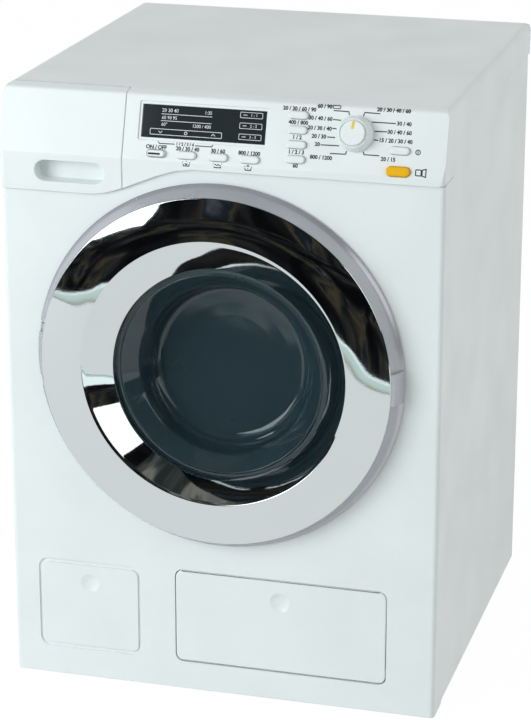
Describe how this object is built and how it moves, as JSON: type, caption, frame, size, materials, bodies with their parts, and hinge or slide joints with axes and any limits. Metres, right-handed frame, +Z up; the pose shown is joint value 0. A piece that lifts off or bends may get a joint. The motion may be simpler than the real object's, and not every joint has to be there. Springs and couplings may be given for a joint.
{
  "type": "toy washing machine",
  "caption": "Front-loading toy washing machine with hinged porthole door, turning drum, sliding drawer, knob, push buttons and drain flap.",
  "frame": {"origin": "middle of the cabinet's footprint, on the surface that it stands on", "axes": "+Z up, +Y to the machine's back, +X to its right seen from the front"},
  "size_m": [0.186, 0.1966, 0.26],
  "materials": {
    "white_plastic": "satin moulded",
    "grey_plastic": "satin moulded, silver grey",
    "chrome": "vacuum-metallised, polished",
    "smoked_window": "clear smoked plastic",
    "display": "smoked display pane",
    "yellow_plastic": "gloss moulded",
    "tub_plastic": "moulded",
    "drum_metal": "silver lacquered plastic and steel",
    "gear_plastic": "natural acetal",
    "steel": "zinc plated",
    "rubber_grey": "soft moulded",
    "circuit_green": "solder resist",
    "black_plastic": "moulded",
    "bearing_brass": "sintered",
    "cell_wrap": "printed sleeve"
  },
  "bodies": {
    "cabinet": {"top_cover": "white_plastic", "housing_shell": "white_plastic", "front_panel": "white_plastic", "base_plate": "white_plastic", "display_window": "display", "circuit_board": "circuit_green", "key_mat": "rubber_grey", "selector_switch": "black_plastic", "speaker": "black_plastic", "drawer_housing": "tub_plastic", "tub": "tub_plastic", "door_gasket": "rubber_grey", "drum_bearing": "bearing_brass", "gear_bracket": "tub_plastic", "idler_pin": "steel", "motor": "steel", "battery_box": "tub_plastic", "battery_contacts": "steel", "batteries": "cell_wrap", "battery_cover": "white_plastic", "battery_cover_screw": "steel", "housing_screws": "steel", "flap_box": "tub_plastic", "drain_hose": "rubber_grey", "latch_spring": "steel"},
    "drum": {"drum": "drum_metal", "drum_back": "drum_metal", "drum_lifters": "drum_metal", "drum_shaft": "steel", "drum_gear": "gear_plastic"},
    "idler": {"idler_gear": "gear_plastic"},
    "rotor": {"motor_pinion": "gear_plastic"},
    "door": {"door_frame": "grey_plastic", "chrome_ring": "chrome", "window_bowl": "smoked_window", "door_back_ring": "grey_plastic", "latch_hook": "grey_plastic", "door_screws": "steel", "hinge_pin": "steel"},
    "drawer": {"drawer_front": "white_plastic", "drawer_tray": "tub_plastic"},
    "knob": {"programme_knob": "white_plastic"},
    "latch": {"latch_slider": "grey_plastic"},
    "flap": {"service_flap": "white_plastic"},
    "plug": {"drain_plug": "rubber_grey"},
    "start_button": {"start_button": "white_plastic"},
    "row_button_2": {"row_button_2": "white_plastic"},
    "row_button_3": {"row_button_3": "white_plastic"},
    "row_button_4": {"row_button_4": "white_plastic"},
    "option_button_1": {"option_button_1": "white_plastic"},
    "option_button_2": {"option_button_2": "white_plastic"},
    "option_button_3": {"option_button_3": "white_plastic"},
    "option_button_4": {"option_button_4": "white_plastic"},
    "power_button": {"power_button": "white_plastic"},
    "door_button": {"door_button": "yellow_plastic"}
  },
  "joints": [
    {"name": "door_hinge", "type": "hinge", "parent": "cabinet", "child": "door", "pos_m": [-0.074, -0.0956, 0.147], "axis": [0, 0, -1], "range_deg": [0, 90]},
    {"name": "drawer_slide", "type": "slide", "parent": "cabinet", "child": "drawer", "axis": [0, -1, 0], "range_m": [0, 0.038]},
    {"name": "knob_turn", "type": "hinge", "parent": "cabinet", "child": "knob", "pos_m": [0.0559, -0.08995, 0.2487], "axis": [0, -0.9527, 0.304], "continuous": true},
    {"name": "drum_spin", "type": "hinge", "parent": "cabinet", "child": "drum", "pos_m": [0, 0, 0.147], "axis": [0, -1, 0], "continuous": true},
    {"name": "idler_spin", "type": "hinge", "parent": "cabinet", "child": "idler", "pos_m": [0, 0, 0.187], "axis": [0, -1, 0], "continuous": true},
    {"name": "rotor_spin", "type": "hinge", "parent": "cabinet", "child": "rotor", "pos_m": [0, 0, 0.214], "axis": [0, -1, 0], "continuous": true},
    {"name": "flap_hinge", "type": "hinge", "parent": "cabinet", "child": "flap", "pos_m": [0.02595, -0.0913, 0.0192], "axis": [1, 0, 0], "range_deg": [0, 85]},
    {"name": "plug_slide", "type": "slide", "parent": "cabinet", "child": "plug", "axis": [0, -1, 0], "range_m": [0, 0.01]},
    {"name": "latch_slide", "type": "slide", "parent": "cabinet", "child": "latch", "axis": [0, 0, -1], "range_m": [0, 0.0012], "stiffness_N_per_m": 400, "springref_m": -0.0002, "deforming": ["latch_spring"]},
    {"name": "start_button_push", "type": "slide", "parent": "cabinet", "child": "start_button", "axis": [0, 0.9527, -0.304], "range_m": [0, 0.0012], "stiffness_N_per_m": 600, "springref_m": -0.0002},
    {"name": "row_button_2_push", "type": "slide", "parent": "cabinet", "child": "row_button_2", "axis": [0, 0.9527, -0.304], "range_m": [0, 0.0012], "stiffness_N_per_m": 600, "springref_m": -0.0002},
    {"name": "row_button_3_push", "type": "slide", "parent": "cabinet", "child": "row_button_3", "axis": [0, 0.9527, -0.304], "range_m": [0, 0.0012], "stiffness_N_per_m": 600, "springref_m": -0.0002},
    {"name": "row_button_4_push", "type": "slide", "parent": "cabinet", "child": "row_button_4", "axis": [0, 0.9527, -0.304], "range_m": [0, 0.0012], "stiffness_N_per_m": 600, "springref_m": -0.0002},
    {"name": "option_button_1_push", "type": "slide", "parent": "cabinet", "child": "option_button_1", "axis": [0, 0.9527, -0.304], "range_m": [0, 0.0012], "stiffness_N_per_m": 600, "springref_m": -0.0002},
    {"name": "option_button_2_push", "type": "slide", "parent": "cabinet", "child": "option_button_2", "axis": [0, 0.9527, -0.304], "range_m": [0, 0.0012], "stiffness_N_per_m": 600, "springref_m": -0.0002},
    {"name": "option_button_3_push", "type": "slide", "parent": "cabinet", "child": "option_button_3", "axis": [0, 0.9527, -0.304], "range_m": [0, 0.0012], "stiffness_N_per_m": 600, "springref_m": -0.0002},
    {"name": "option_button_4_push", "type": "slide", "parent": "cabinet", "child": "option_button_4", "axis": [0, 0.9527, -0.304], "range_m": [0, 0.0012], "stiffness_N_per_m": 600, "springref_m": -0.0002},
    {"name": "power_button_push", "type": "slide", "parent": "cabinet", "child": "power_button", "axis": [0, 0.9527, -0.304], "range_m": [0, 0.0012], "stiffness_N_per_m": 600, "springref_m": -0.0002},
    {"name": "door_button_push", "type": "slide", "parent": "cabinet", "child": "door_button", "axis": [0, 0.9527, -0.304], "range_m": [0, 0.0012], "stiffness_N_per_m": 600, "springref_m": -0.0002}
  ],
  "couplings": [
    {"joint": "idler_spin", "follows": "drum_spin", "ratio": -4},
    {"joint": "rotor_spin", "follows": "drum_spin", "ratio": 11.429},
    {"joint": "latch_slide", "follows": "door_button_push", "ratio": 1}
  ]
}
